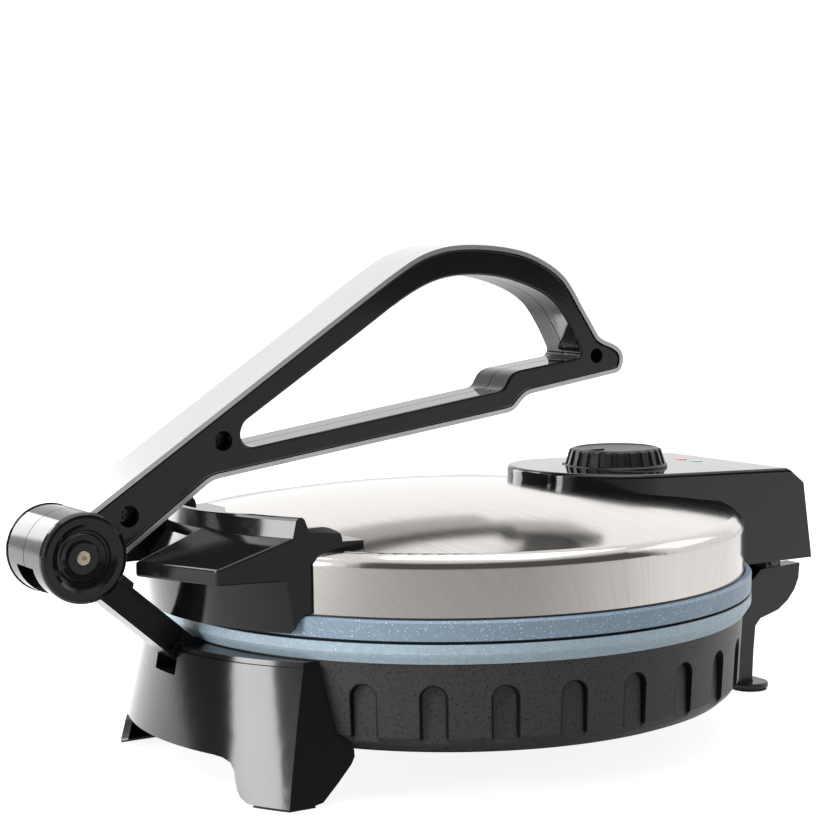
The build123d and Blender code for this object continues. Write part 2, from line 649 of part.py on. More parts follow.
# arched opening between the feet
arch = [
    (-66.0, -6), (-64.4, 0.6), (-61.6, 1.5), (-58.6, 3.2), (-56.6, 5.6), (-55.0, 9.0), (-53.6, 12.7),
    (-50.9, 15.7), (-46.8, 17.1), (-42.0, ARCH_Z),
]
arch_points = arch + [(-x, z) for x, z in reversed(arch)]
arch_face = make_face(Polyline(*arch_points, close=True))
front -= extrude(Plane.XZ.offset(112.0) * arch_face, amount=60)
front -= body_outer_solid(0.45)
front -= turned([(0, LOWER_Z - 0.1), (PLATE_R + 0.6, LOWER_Z - 0.1), (PLATE_R + 0.6, 80), (0, 80)])
# slot and cheeks of the arm
front -= block(-9.4, 9.4, -160, -120, 44.6, 60)
front -= rod_x(ARM_Y, ARM_Z, ARM_PIN_R + 0.01, -14, 14)
for spot in BRACKET_SCREWS:
    for x in (-spot[0], spot[0]):
        y_wall = wall_front(x, BODY_TOP_R - 2.0)
        y_skin = bracket_front(x, spot[1], 1.4)
        stud = rod_y(x, spot[1], 3.6, y_skin - 6.0, y_wall) & bracket_envelope(1.2, -5.0, 50.0)
        front += stud - body_outer_solid(0.0)
        front -= rod_y(x, spot[1], 1.45, y_wall - 7.4, y_wall + 2)
parts["front_bracket"] = front

# pads under the soles of the two front feet
pads = bracket_envelope(0.5, 0, BRACKET_FOOT_Z)
pads &= block(64.6, 90, -160, -118.0, -1, 2) + block(-90, -64.6, -160, -118.0, -1, 2)
parts["front_foot_pads"] = pads

arm_pin = rod_x(ARM_Y, ARM_Z, ARM_PIN_R, -12.2, 12.2)
parts["arm_pivot_pin"] = arm_pin


# ---- arm ----------------------------------------------------------------------------
arm_angle = degrees(atan2(ARM_Z - DRUM_Z, ARM_Y - DRUM_Y))
arm_length = hypot(ARM_Z - DRUM_Z, ARM_Y - DRUM_Y)


def along_arm(s, n):
    """Point s along the arm from the barrel axis, n to its upper side."""
    a = radians(arm_angle)
    return (DRUM_Y + s * cos(a) - n * sin(a), DRUM_Z + s * sin(a) + n * cos(a))


bar = [
    along_arm(4.0, -ARM_LOW), along_arm(arm_length - 2.0, -ARM_LOW), along_arm(arm_length + 1.0, -5.9),
    along_arm(arm_length, ARM_UP), along_arm(30.0, ARM_UP), along_arm(29.0, ARM_UP + 1.8),
    along_arm(23.0, ARM_UP + 1.8), along_arm(21.5, ARM_UP), along_arm(4.0, ARM_UP),
]
arm = slab_x(bar, -ARM_HALF, ARM_HALF)
arm += rod_x(DRUM_Y, DRUM_Z, ARM_EYE_R, -ARM_HALF, ARM_HALF)
arm += rod_x(ARM_Y, ARM_Z, ARM_HUB_R, -ARM_HALF, ARM_HALF)
for side in (-1, 1):
    x0 = ARM_HALF - 1.2 if side > 0 else -ARM_HALF - 0.1
    panel = slab_x([
        along_arm(21.0, -ARM_LOW + 1.7), along_arm(arm_length - 9.0, -ARM_LOW + 1.7),
        along_arm(arm_length - 9.0, ARM_UP - 1.2), along_arm(21.0, ARM_UP - 1.2),
    ], x0, x0 + 1.3)
    arm -= panel
BUSH_R = 4.5
arm -= rod_x(DRUM_Y, DRUM_Z, BUSH_R + 0.05, -12, 12)
arm -= rod_x(ARM_Y, ARM_Z, ARM_PIN_R + 0.05, -12, 12)
parts["lever_arm"] = arm

parts["barrel_bush"] = rod_x(DRUM_Y, DRUM_Z, BUSH_R, -8.6, 8.6) - rod_x(DRUM_Y, DRUM_Z, PIN_R, -12, 12)
barrel_pin = rod_x(DRUM_Y, DRUM_Z, PIN_R, -19.3, 19.3)
barrel_pin = fillet(barrel_pin.edges().filter_by(GeomType.CIRCLE), 0.5)
for side in (-1, 1):
    barrel_pin -= Pos(side * 19.3, DRUM_Y, DRUM_Z) * Sphere(0.9)
parts["barrel_pin"] = barrel_pin


# ---- lever --------------------------------------------------------------------------
# The outline is drawn in (y, z) as smooth bends joined by straight lines, from the barrel
# along the top, round the nose and back along the underside.
LEVER_BENDS = [
    [(-183.2, 116.6)],
    [(-48.7, 203.1), (-36.5, 210.6), (-26.2, 216.1), (-12.3, 220.1), (0.9, 220.9), (18.1, 219.6),
     (32.6, 216.4), (42.4, 212.0), (52.3, 204.9), (60.2, 194.0)],
    [(70.4, 178.6), (74.4, 175.6), (80.4, 173.2), (84.9, 168.3), (84.1, 162.6), (79.6, 160.0)],
    [(33.6, 153.2), (28.2, 150.7), (24.2, 146.9), (17.1, 144.7)],
    [(-122.6, 126.4), (-127.8, 125.4), (-132.4, 122.8)],
    [(-167.4, 98.6)],
]
LOOP_BENDS = [
    [(-56.6, 183.7), (-33.8, 198.0), (-15.2, 205.9), (-1.2, 207.6), (17.9, 205.9), (34.4, 201.0),
     (47.2, 193.4), (54.1, 184.6), (60.4, 173.2), (61.2, 169.6), (58.2, 167.7)],
    [(28.6, 164.0), (21.9, 161.2), (18.6, 156.4), (12.0, 154.6)],
    [(-106.8, 138.2), (-112.2, 139.4), (-114.4, 143.6), (-112.6, 148.4), (-110.2, 150.3)],
]


def bend_points(bends, i, shift):
    """Points of one bend moved to the right of the travel direction, with its end tangents."""
    run = bends[i]
    before = bends[i - 1][-1]
    after = bends[(i + 1) % len(bends)][0]
    if len(run) == 1:
        near_end = after if i == 0 else before
        sense = 1 if i == 0 else -1
        t = Vector(near_end[0] - run[0][0], near_end[1] - run[0][1]).normalized() * sense
        return [(run[0][0] + shift * t.Y, run[0][1] - shift * t.X)], t, t
    first = Vector(run[0][0] - before[0], run[0][1] - before[1]).normalized()
    last = Vector(after[0] - run[-1][0], after[1] - run[-1][1]).normalized()
    curve = Spline(*run, tangents=[(first.X, first.Y), (last.X, last.Y)])
    if shift == 0:
        return run, first, last
    steps = 3 * (len(run) - 1)
    moved = []
    for k in range(steps + 1):
        p = curve @ (k / steps)
        t = curve % (k / steps)
        moved.append((p.X + shift * t.Y, p.Y - shift * t.X))
    return moved, first, last


def bend_wire(bends, shift):
    edges = []
    placed = [bend_points(bends, i, shift) for i in range(len(bends))]
    for i in range(len(placed)):
        points, first, last = placed[i]
        if len(points) > 1:
            edges.append(Spline(*points, tangents=[(first.X, first.Y), (last.X, last.Y)]))
        edges.append(Line(points[-1], placed[(i + 1) % len(placed)][0][0]))
    return Wire(edges)


outer_face = Plane.YZ * make_face(bend_wire(LEVER_BENDS, 0))
inset_face = Plane.YZ * make_face(bend_wire(LEVER_BENDS, PLATE_INSET))
hollow_outer = Plane.YZ * make_face(bend_wire(LEVER_BENDS, PLATE_INSET + LEVER_SKIN))
loop_face = Plane.YZ * make_face(bend_wire(LOOP_BENDS, 0))
hollow_loop = Plane.YZ * make_face(bend_wire(LOOP_BENDS, -LEVER_SKIN))

outer_prism = extrude(outer_face, amount=LEVER_HALF, both=True)
inset_prism = extrude(inset_face, amount=LEVER_HALF + 2, both=True)
band = outer_prism - inset_prism
band -= rod_x(DRUM_Y, DRUM_Z, DRUM_R + 0.15, -30, 30)
band -= slab_x([(-230, 60), (-184.6, 60), (-184.6, 160), (-230, 160)], -30, 30)
parts["lever_band"] = band

SCREW_SPOTS = [(-166.2, 113.4, 4.5), (-122.8, 141.5, 4.2), (70.0, 168.6, 3.4)]
plate_half = LEVER_HALF - 0.4
# room for the arm from the lever's lowest press to its full swing
arm_sweep = pie_x(arm_angle - SWING, arm_angle + PRESS, DRUM_R + 1.2, -1, SLOT_HALF, DRUM_Y, DRUM_Z)
for turn in (-SWING, PRESS):
    strip = block(-1, SLOT_HALF, 0, DRUM_R + 1.0, -ARM_LOW - 0.5, ARM_UP + 0.5)
    arm_sweep += Pos(0, DRUM_Y, DRUM_Z) * Rot(arm_angle + turn, 0, 0) * strip


def rounded_edge(bends, sign):
    """Stack that rounds a plate's outline: lofts between outlines moved across the edge."""
    steps = [(plate_half - 1.0, 0.0), (plate_half - 0.35, 0.25), (plate_half, 0.95)]
    faces = []
    for x, shift in steps:
        faces.append(Plane.YZ.offset(x) * make_face(bend_wire(bends, shift * sign + EDGE_BASE[sign])))
    shape = None
    for low, high in zip(faces, faces[1:]):
        piece = loft([low, high], ruled=True)
        shape = piece if shape is None else shape + piece
    return shape


EDGE_BASE = {1: PLATE_INSET, -1: 0.0}
plate_prism = extrude(inset_face, amount=plate_half - 1.0) + rounded_edge(LEVER_BENDS, 1)
plate_prism -= extrude(loop_face, amount=LEVER_HALF + 2, both=True) + rounded_edge(LOOP_BENDS, -1)
# parting groove round the inside of the loop
plate_prism -= extrude(Plane.YZ * make_face(bend_wire(LOOP_BENDS, -0.8)), amount=0.25, both=True)
pocket = extrude(hollow_outer, amount=plate_half - LEVER_SKIN)
pocket -= extrude(hollow_loop, amount=LEVER_HALF + 2, both=True)
pocket -= rod_x(DRUM_Y, DRUM_Z, DRUM_R + 1.0, -30, 30)
near = plate_prism - pocket
for spot in SCREW_SPOTS:
    near += rod_x(spot[0], spot[1], spot[2] + 1.4, 0, plate_half - 1.0) & plate_prism
near += turned_x([
    (0, 0), (0, DRUM_R - 0.5), (0.25, DRUM_R - 0.5), (0.25, DRUM_R), (DRUM_HALF - 0.3, DRUM_R),
    (DRUM_HALF, DRUM_R - 0.3), (DRUM_HALF, 0),
], DRUM_Y, DRUM_Z)
near -= rod_x(DRUM_Y, DRUM_Z, 12.4, -1, SLOT_HALF)
near -= arm_sweep
near -= rod_x(DRUM_Y, DRUM_Z, PIN_R + 0.05, -1, 30)
far = mirror(near, Plane.YZ)
screws = None
for spot in SCREW_SPOTS:
    near -= rod_x(spot[0], spot[1], spot[2], 5.6, 20)
    near -= rod_x(spot[0], spot[1], 1.75, -1, 20)
    far -= rod_x(spot[0], spot[1], 1.45, -9.5, 1)
    one = rod_x(spot[0], spot[1], 2.9, 5.65, 7.6) + rod_x(spot[0], spot[1], 1.4, -9.0, 5.7)
    one -= block(6.8, 8, spot[0] - 1.9, spot[0] + 1.9, spot[1] - 0.35, spot[1] + 0.35)
    one -= block(6.8, 8, spot[0] - 0.35, spot[0] + 0.35, spot[1] - 1.9, spot[1] + 1.9)
    screws = one if screws is None else screws + one
parts["lever_shell_near"] = near
parts["lever_shell_far"] = far
parts["lever_screws"] = screws

cap_outline = [
    (DRUM_HALF + 0.05, PIN_R + 0.05), (DRUM_HALF + 0.05, 17.6), (DRUM_HALF + 0.5, 17.6),
    (DRUM_HALF + 0.55, 18.4), (DRUM_HALF + 1.0, 18.6),
    (CAP_HALF - 1.4, 18.4), (CAP_HALF - 0.4, 17.6), (CAP_HALF, 16.4), (CAP_HALF - 0.1, 14.0),
    (CAP_HALF - 0.9, 12.6), (CAP_HALF - 1.3, 11.6), (CAP_HALF - 2.2, 11.1), (CAP_HALF - 2.4, 10.2),
    (CAP_HALF - 2.0, 9.6), (CAP_HALF - 2.3, 8.4), (CAP_HALF - 2.6, 7.2), (CAP_HALF - 1.7, 6.7),
    (CAP_HALF - 1.5, 6.2), (CAP_HALF - 1.5, PIN_R + 0.05),
]
cap = turned_x(cap_outline, DRUM_Y, DRUM_Z)
parts["barrel_cap_near"] = cap
parts["barrel_cap_far"] = mirror(cap, Plane.YZ)

bracket_screws = None
for spot in BRACKET_SCREWS:
    for x in (-spot[0], spot[0]):
        y_wall = wall_front(x, BODY_TOP_R - 2.0)
        one = rod_y(x, spot[1], 1.4, y_wall - 7.0, y_wall + 8.5)
        one += rod_y(x, spot[1], 3.0, y_wall + 8.05, y_wall + 9.8)
        bracket_screws = one if bracket_screws is None else bracket_screws + one
parts["front_bracket_screws"] = bracket_screws

for name, shape in parts.items():
    export_step(Pos(0, FOOTPRINT_SHIFT, 0) * shape, "parts/" + name + ".step")
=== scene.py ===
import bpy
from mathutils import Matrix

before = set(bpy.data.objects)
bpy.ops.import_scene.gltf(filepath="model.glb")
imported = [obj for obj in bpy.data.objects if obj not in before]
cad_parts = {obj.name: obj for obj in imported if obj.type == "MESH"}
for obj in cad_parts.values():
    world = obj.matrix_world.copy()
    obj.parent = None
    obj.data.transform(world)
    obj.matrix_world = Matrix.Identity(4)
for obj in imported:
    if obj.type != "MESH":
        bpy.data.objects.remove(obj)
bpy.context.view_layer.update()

import math

import bmesh
import bpy
from bpy.props import FloatProperty, FloatVectorProperty, PointerProperty
from mathutils import Matrix, Vector

bl_info = {
    "name": "Roti Maker Dressing",
    "version": (1, 0, 0),
    "blender": (4, 5, 0),
    "location": "View3D > Sidebar > Roti Maker",
    "description": "Finishes the pieces of a roti maker and sets up its studio",
    "category": "Object",
}

MM = 0.001

# Places and sizes on the object, which the finishes follow
PLATE_AXIS_Y = 13.25 * MM     # the plate axis stands behind the middle of the footprint
SEAM_HEIGHT = 66.0 * MM       # the parting line between the heating plates
SEAM_DARK = 0.5 * MM          # the rims carry painted shade this far from the parting line
SEAM_CLEAR = 0.75 * MM        # and have their own colour from here on
RIM_EDGE_RADIUS = 131.0 * MM  # the outer edge of the rims lies beyond this radius
LID_SIDE_TOP = 100.0 * MM     # the side of the steel lid hangs down from this height
BRUSH_TURN = -8.0             # turn of the coordinates of the lid's brushing, in degrees
BRUSH_CONTRAST = 0.1          # how much darker the dark lines of a brushed sheet are
FLUTES = 28                   # round the whole body
FLUTE_PHASE = 1.8             # degrees from the X axis to the middle of a flute
FLUTE_RADIUS = 128.3 * MM     # radius at which the flutes' width is measured
FLUTE_HALF = 5.3 * MM         # from the middle of a flute to its edge
FLUTE_ARCH_Z = 42.4 * MM      # centre of the flutes' arched tops
FLUTE_FOOT_Z = 26.0 * MM      # the painted shade along the flutes' edges is drawn above this height
EDGE_DARK = 0.35 * MM         # the painted shade is full this far from the edge line
EDGE_CLEAR = 0.9 * MM         # and clear from here on
EDGE_SHADE = 0.95             # how far the painted shade takes them over to the dark colour

# Studio. A zone is a compass direction, the angle from it up to which the zone is full, and the
# angle at which it has faded out. Directions run from +X (0) to +Y (90), the rear of the object.
WATTS_PER_RADIANCE = 4.0      # power of an area lamp for one unit of radiance and one square metre
LAMP_AIM = (0.0, 0.0, 60.0 * MM)        # the point that all the lamps face
FLOOR_DROP = 0.2 * MM         # the floor lies this far below the feet
FLOOR_GLOW = 0.88             # added to the floor where the camera sees it
FAR_GLOW = 0.6                # added to that again, far from the object
FAR_GLOW_REACH = (0.45, 1.3)  # metres from the middle where it sets in and where it is full
FLOOR_MIRRORED = 0.35         # added to the floor where a reflection sees it, but for DIM_FLOOR
LEFT_MIRRORED = 1.0           # added to that in LEFT_FLOOR
RIGHT_MIRRORED = 0.3          # added to that in RIGHT_FLOOR
DIM_FLOOR = (-35.0, 8.0, 65.0)          # towards the camera
LEFT_FLOOR = (-145.0, 25.0, 42.0)       # on the left, beyond the front bracket
RIGHT_FLOOR = (80.0, 25.0, 55.0)        # on the right, behind the hinge
DARK_ROOM = ((-10.0, 56.0, 68.0), (-127.0, 21.0, 26.0))    # round the camera, and on the left
ROOM_DARKENING = 0.9          # how much of its light a reflection loses in DARK_ROOM
BRIGHT_ROOM = (148.0, 25.0, 50.0)       # opposite the camera
BRIGHT_LIFT = 0.2             # added to the room there, in reflections
ROOM_ZONE_TOP = (34.0, 56.0)  # height angles between which the room's zones fade out upwards

# Camera, in the pixels of the photograph where it isn't said otherwise
PHOTO_SIDE = 823.0
FOCAL_LENGTH = 2101.0
AXIS_X, AXIS_Y = 415.8, 413.5           # where the camera's axis meets the picture
CAMERA_PLACE = (0.7969, -0.5102 + PLATE_AXIS_Y, 0.2286)     # metres
CAMERA_AZIMUTH = 57.37                  # degrees that the view is turned by, from +Y towards -X
CAMERA_YAW, CAMERA_PITCH, CAMERA_ROLL = -0.018, 0.088, -0.014       # radians
SENSOR_WIDTH = 36.0                     # millimetres

# Sockets of a Mix node that mixes colours
MIX_AMOUNT, MIX_FIRST, MIX_SECOND = 0, 6, 7
MIX_RESULT = 2


# ---- nodes --------------------------------------------------------------------------
def add_node(tree, kind, inputs=None, **settings):
    """One node with its settings and its inputs, which are values or other sockets."""
    node = tree.nodes.new(kind)
    for key, value in settings.items():
        setattr(node, key, value)
    for key, value in (inputs or {}).items():
        if isinstance(value, bpy.types.NodeSocket):
            tree.links.new(value, node.inputs[key])
        else:
            node.inputs[key].default_value = value
    return node


def maths(tree, operation, first, second=0.0, third=0.0, clamp=False):
    """Result of one Math node."""
    node = add_node(tree, "ShaderNodeMath", {0: first, 1: second, 2: third}, operation=operation,
                    use_clamp=clamp)
    return node.outputs[0]


def ramp(tree, value, low, high, to_low=0.0, to_high=1.0):
    """Smooth step of a value between two limits."""
    node = add_node(tree, "ShaderNodeMapRange", {
        "Value": value, "From Min": low, "From Max": high, "To Min": to_low, "To Max": to_high,
    }, interpolation_type="SMOOTHSTEP")
    return node.outputs["Result"]


def opaque(colour):
    """The three numbers of a colour with a full alpha, or its socket as it is."""
    return colour if isinstance(colour, bpy.types.NodeSocket) else (*colour, 1.0)


def blend(tree, amount, first, second, **settings):
    """Mix of two colours, by a straight blend where the settings don't say otherwise."""
    node = add_node(tree, "ShaderNodeMix", {
        MIX_AMOUNT: amount, MIX_FIRST: opaque(first), MIX_SECOND: opaque(second),
    }, data_type="RGBA", **settings)
    return node.outputs[MIX_RESULT]


def about_axis(tree, place):
    """Coordinates and radius measured from the upright axis of the plates."""
    centred = add_node(tree, "ShaderNodeVectorMath", {0: place, 1: (0.0, PLATE_AXIS_Y, 0.0)},
                       operation="SUBTRACT")
    x, y, z = add_node(tree, "ShaderNodeSeparateXYZ", {"Vector": centred.outputs["Vector"]}).outputs
    radius = maths(tree, "SQRT", maths(tree, "MULTIPLY_ADD", x, x, maths(tree, "MULTIPLY", y, y)))
    return x, y, z, radius


def toward(tree, place, azimuth, inner, outer):
    """1 within the inner angle of a compass direction, 0 beyond the outer one."""
    flat = add_node(tree, "ShaderNodeVectorMath", {0: place, 1: (1.0, 1.0, 0.0)},
                    operation="MULTIPLY")
    unit = add_node(tree, "ShaderNodeVectorMath", {0: flat.outputs["Vector"]},
                    operation="NORMALIZE")
    aim = (math.cos(math.radians(azimuth)), math.sin(math.radians(azimuth)), 0.0)
    along = add_node(tree, "ShaderNodeVectorMath", {0: unit.outputs["Vector"], 1: aim},
                     operation="DOT_PRODUCT")
    return ramp(tree, along.outputs["Value"], math.cos(math.radians(outer)),
                math.cos(math.radians(inner)))


# ---- shared shader groups -----------------------------------------------------------
VECTOR = "NodeSocketVector"
NUMBER = "NodeSocketFloat"


def new_group(name, inputs, outputs):
    """A shader node group with named inputs (name, kind, default) and outputs (name, kind)."""
    tree = bpy.data.node_groups.new(name, "ShaderNodeTree")
    for label, kind, default in inputs:
        socket = tree.interface.new_socket(label, in_out="INPUT", socket_type=kind)
        if default is not None:
            socket.default_value = default
    for label, kind in outputs:
        tree.interface.new_socket(label, in_out="OUTPUT", socket_type=kind)
    entry = tree.nodes.new("NodeGroupInput")
    leave = tree.nodes.new("NodeGroupOutput")
    return tree, entry, leave


def use_group(tree, name, **inputs):
    """One of the shared groups, placed in a material with its own values."""
    return add_node(tree, "ShaderNodeGroup", inputs, node_tree=bpy.data.node_groups[name])


def build_specks():
    """Scattered round specks of uneven size, as a mask."""
    tree, entry, leave = new_group("Specks", [
        ("Vector", VECTOR, None), ("Scale", NUMBER, 600.0), ("Share", NUMBER, 0.3),
        ("Size", NUMBER, 0.2),
    ], [("Mask", NUMBER)])
    cells = add_node(tree, "ShaderNodeTexVoronoi", {
        "Vector": entry.outputs["Vector"], "Scale": entry.outputs["Scale"], "Randomness": 1.0,
    }, feature="F1")
    pick = add_node(tree, "ShaderNodeTexWhiteNoise", {"Vector": cells.outputs["Position"]},
                    noise_dimensions="3D")
    chosen = maths(tree, "LESS_THAN", pick.outputs["Value"], entry.outputs["Share"])
    reach = maths(tree, "MULTIPLY", entry.outputs["Size"],
                  maths(tree, "ADD", pick.outputs["Value"], 0.55))
    dot = maths(tree, "SUBTRACT", reach, cells.outputs["Distance"])
    soft = maths(tree, "MULTIPLY", dot, 14.0, clamp=True)
    tree.links.new(maths(tree, "MULTIPLY", soft, chosen), leave.inputs["Mask"])


def build_skin():
    """The fine uneven skin of a moulded or sprayed surface."""
    tree, entry, leave = new_group("Moulded Skin", [
        ("Vector", VECTOR, None), ("Scale", NUMBER, 1200.0), ("Depth", NUMBER, 0.02 * MM),
    ], [("Normal", VECTOR), ("Height", NUMBER)])
    peel = add_node(tree, "ShaderNodeTexNoise", {
        "Vector": entry.outputs["Vector"], "Scale": entry.outputs["Scale"], "Detail": 2.0,
        "Roughness": 0.5,
    })
    lift = maths(tree, "MULTIPLY", peel.outputs["Fac"], entry.outputs["Depth"])
    bump = add_node(tree, "ShaderNodeBump", {"Strength": 1.0, "Distance": 1.0, "Height": lift})
    tree.links.new(bump.outputs["Normal"], leave.inputs["Normal"])
    tree.links.new(peel.outputs["Fac"], leave.inputs["Height"])


def build_marks():
    """Cloudy gloss between two roughnesses, as handling leaves it."""
    tree, entry, leave = new_group("Handling Marks", [
        ("Vector", VECTOR, None), ("Scale", NUMBER, 18.0), ("Low", NUMBER, 0.2),
        ("High", NUMBER, 0.3),
    ], [("Roughness", NUMBER)])
    cloud = add_node(tree, "ShaderNodeTexNoise", {
        "Vector": entry.outputs["Vector"], "Scale": entry.outputs["Scale"], "Detail": 4.0,
        "Roughness": 0.6, "Distortion": 0.4,
    })
    spread = add_node(tree, "ShaderNodeMapRange", {
        "Value": cloud.outputs["Fac"], "From Min": 0.35, "From Max": 0.7,
        "To Min": entry.outputs["Low"], "To Max": entry.outputs["High"],
    })
    tree.links.new(spread.outputs["Result"], leave.inputs["Roughness"])


def build_brush_lines():
    """Fine and broad parallel lines, drawn out along X."""
    tree, entry, leave = new_group("Brush Lines", [
        ("Vector", VECTOR, None), ("Across", NUMBER, 2600.0), ("Along", NUMBER, 60.0),
    ], [("Fine", NUMBER), ("Broad", NUMBER)])
    stretch = add_node(tree, "ShaderNodeCombineXYZ", {
        "X": entry.outputs["Along"], "Y": entry.outputs["Across"], "Z": entry.outputs["Along"],
    })
    scaled = add_node(tree, "ShaderNodeVectorMath", {
        0: entry.outputs["Vector"], 1: stretch.outputs["Vector"],
    }, operation="MULTIPLY")
    fine = add_node(tree, "ShaderNodeTexNoise", {
        "Vector": scaled.outputs["Vector"], "Scale": 1.0, "Detail": 3.0, "Roughness": 0.65,
    })
    broad = add_node(tree, "ShaderNodeTexNoise", {
        "Vector": scaled.outputs["Vector"], "Scale": 0.16, "Detail": 2.0, "Roughness": 0.5,
    })
    tree.links.new(fine.outputs["Fac"], leave.inputs["Fine"])
    tree.links.new(broad.outputs["Fac"], leave.inputs["Broad"])


# ---- finishes -----------------------------------------------------------------------
def start_material(name, shader_values):
    """A material with its Principled shader and the object coordinates."""
    material = bpy.data.materials.new(name)
    material.use_nodes = True
    tree = material.node_tree
    shader = tree.nodes["Principled BSDF"]
    for key, value in shader_values.items():
        shader.inputs[key].default_value = value
    coordinates = add_node(tree, "ShaderNodeTexCoord")
    return material, tree, shader, coordinates.outputs["Object"]


def add_skin(tree, shader, place, peel_scale, peel_depth):
    """Gives the shader its fine relief, and returns the relief's height."""
    skin = use_group(tree, "Moulded Skin", Vector=place, Scale=peel_scale, Depth=peel_depth)
    tree.links.new(skin.outputs["Normal"], shader.inputs["Normal"])
    return skin.outputs["Height"]


def add_marks(tree, shader, place, scale, rough):
    """Gives the shader a gloss that varies between two roughnesses."""
    marks = use_group(tree, "Handling Marks", Vector=place, Scale=scale, Low=rough[0],
                      High=rough[1])
    tree.links.new(marks.outputs["Roughness"], shader.inputs["Roughness"])


def moulded_plastic(name, colour, rough, peel_scale, peel_depth=0.01 * MM, specks=None,
                    speck_colour=(0.004, 0.004, 0.005), specular=0.5, flutes=False):
    """Injection-moulded plastic: fine skin, faint handling marks, small specks and, where asked,
    painted shade along the flutes' edges.
    """
    material, tree, shader, place = start_material(name, {"Specular IOR Level": specular})
    height = add_skin(tree, shader, place, peel_scale, peel_depth)
    add_marks(tree, shader, place, 14.0, rough)
    shade = maths(tree, "MULTIPLY_ADD", height, 0.5, 0.75)
    grey = add_node(tree, "ShaderNodeCombineColor", {0: shade, 1: shade, 2: shade})
    paint = blend(tree, 1.0, colour, grey.outputs[0], blend_type="MULTIPLY")
    if specks:
        dots = use_group(tree, "Specks", Vector=place, **specks)
        paint = blend(tree, dots.outputs["Mask"], paint, speck_colour)
    if flutes:
        # painted shade: the flutes' edges are darkened towards near black
        paint = blend(tree, painted_flute_shade(tree, place), paint, (0.003, 0.003, 0.003))
    tree.links.new(paint, shader.inputs["Base Color"])
    return material


def painted_flute_shade(tree, place):
    """Near 1 along the arched edges of the body's flutes: a mask of painted shade, standing in for
    the shade that gathers in them.
    """
    x, y, z, _ = about_axis(tree, place)
    turn = maths(tree, "MULTIPLY_ADD", maths(tree, "ARCTAN2", y, x), FLUTES / math.tau,
                 0.5 - FLUTE_PHASE / 360.0 * FLUTES)
    step = maths(tree, "SUBTRACT", maths(tree, "FRACT", turn), 0.5)
    across = maths(tree, "MULTIPLY", step, math.tau * FLUTE_RADIUS / FLUTES)
    above = maths(tree, "MAXIMUM", maths(tree, "SUBTRACT", z, FLUTE_ARCH_Z), 0.0)
    reach = maths(tree, "SQRT", maths(tree, "MULTIPLY_ADD", across, across,
                                      maths(tree, "MULTIPLY", above, above)))
    off = maths(tree, "ABSOLUTE", maths(tree, "SUBTRACT", reach, FLUTE_HALF))
    edge = ramp(tree, off, EDGE_DARK, EDGE_CLEAR, EDGE_SHADE, 0.0)
    return maths(tree, "MULTIPLY", edge, maths(tree, "GREATER_THAN", z, FLUTE_FOOT_Z))


def bracket_plastic(name, colour):
    """The gloss plastic of the front bracket and the grip, with a few fine specks."""
    return moulded_plastic(name, colour, (0.1, 0.14), 1300.0, 0.008 * MM,
                           specks={"Share": 0.14, "Scale": 700.0, "Size": 0.12})


def granite_coat(name, colour, deep):
    """Sprayed non-stick coat: blue-grey with crisp pale flecks, a few dark ones and painted shade
    at the plates' parting line.
    """
    material, tree, shader, place = start_material(name, {"Specular IOR Level": 0.45})
    cloud = add_node(tree, "ShaderNodeTexNoise", {
        "Vector": place, "Scale": 420.0, "Detail": 4.0, "Roughness": 0.6,
    })
    base = blend(tree, ramp(tree, cloud.outputs["Fac"], 0.3, 0.72), deep, colour)
    fleck = use_group(tree, "Specks", Vector=place, Scale=1150.0, Share=0.5, Size=0.34)
    dust = use_group(tree, "Specks", Vector=place, Scale=1700.0, Share=0.34, Size=0.3)
    dark = use_group(tree, "Specks", Vector=place, Scale=560.0, Share=0.06, Size=0.24)
    faint = maths(tree, "MULTIPLY", dust.outputs["Mask"], 0.25)
    base = blend(tree, faint, base, (0.6, 0.68, 0.74))
    base = blend(tree, fleck.outputs["Mask"], base, (0.9, 0.92, 0.9))
    base = blend(tree, dark.outputs["Mask"], base, (0.03, 0.035, 0.04))
    # painted shade in the gap between the heating plates
    base = blend(tree, seam_shade(tree, place), base, (0.004, 0.004, 0.005))
    tree.links.new(base, shader.inputs["Base Color"])
    add_skin(tree, shader, place, 700.0, 0.03 * MM)
    add_marks(tree, shader, place, 30.0, (0.34, 0.46))
    return material


def seam_shade(tree, place):
    """1 on the outer edge of both plates right beside their parting line, where painted shade
    stands in for the shade in the gap between them.
    """
    _, _, z, radius = about_axis(tree, place)
    rise = maths(tree, "ABSOLUTE", maths(tree, "SUBTRACT", z, SEAM_HEIGHT))
    beside = ramp(tree, rise, SEAM_DARK, SEAM_CLEAR, 1.0, 0.0)
    return maths(tree, "MULTIPLY", beside, maths(tree, "GREATER_THAN", radius, RIM_EDGE_RADIUS))


def blank_position(tree, place):
    """Where a point of the drawn lid lay on the flat blank it was pressed from."""
    x, y, z, radius = about_axis(tree, place)
    drop = maths(tree, "MAXIMUM", maths(tree, "SUBTRACT", LID_SIDE_TOP, z), 0.0)
    grow = maths(tree, "DIVIDE", maths(tree, "ADD", radius, drop),
                 maths(tree, "MAXIMUM", radius, 0.1 * MM))
    flat = add_node(tree, "ShaderNodeCombineXYZ", {
        "X": maths(tree, "MULTIPLY", x, grow), "Y": maths(tree, "MULTIPLY", y, grow), "Z": 0.0,
    })
    turned = add_node(tree, "ShaderNodeMapping", {
        "Vector": flat.outputs["Vector"], "Rotation": (0.0, 0.0, math.radians(BRUSH_TURN)),
    })
    return turned.outputs["Vector"]


def lengthwise_position(tree, place):
    """The place on the lever, turned so that brush lines run along the lever."""
    turned = add_node(tree, "ShaderNodeMapping", {
        "Vector": place, "Rotation": (0.0, 0.0, math.radians(90.0)),
    })
    return turned.outputs["Vector"]


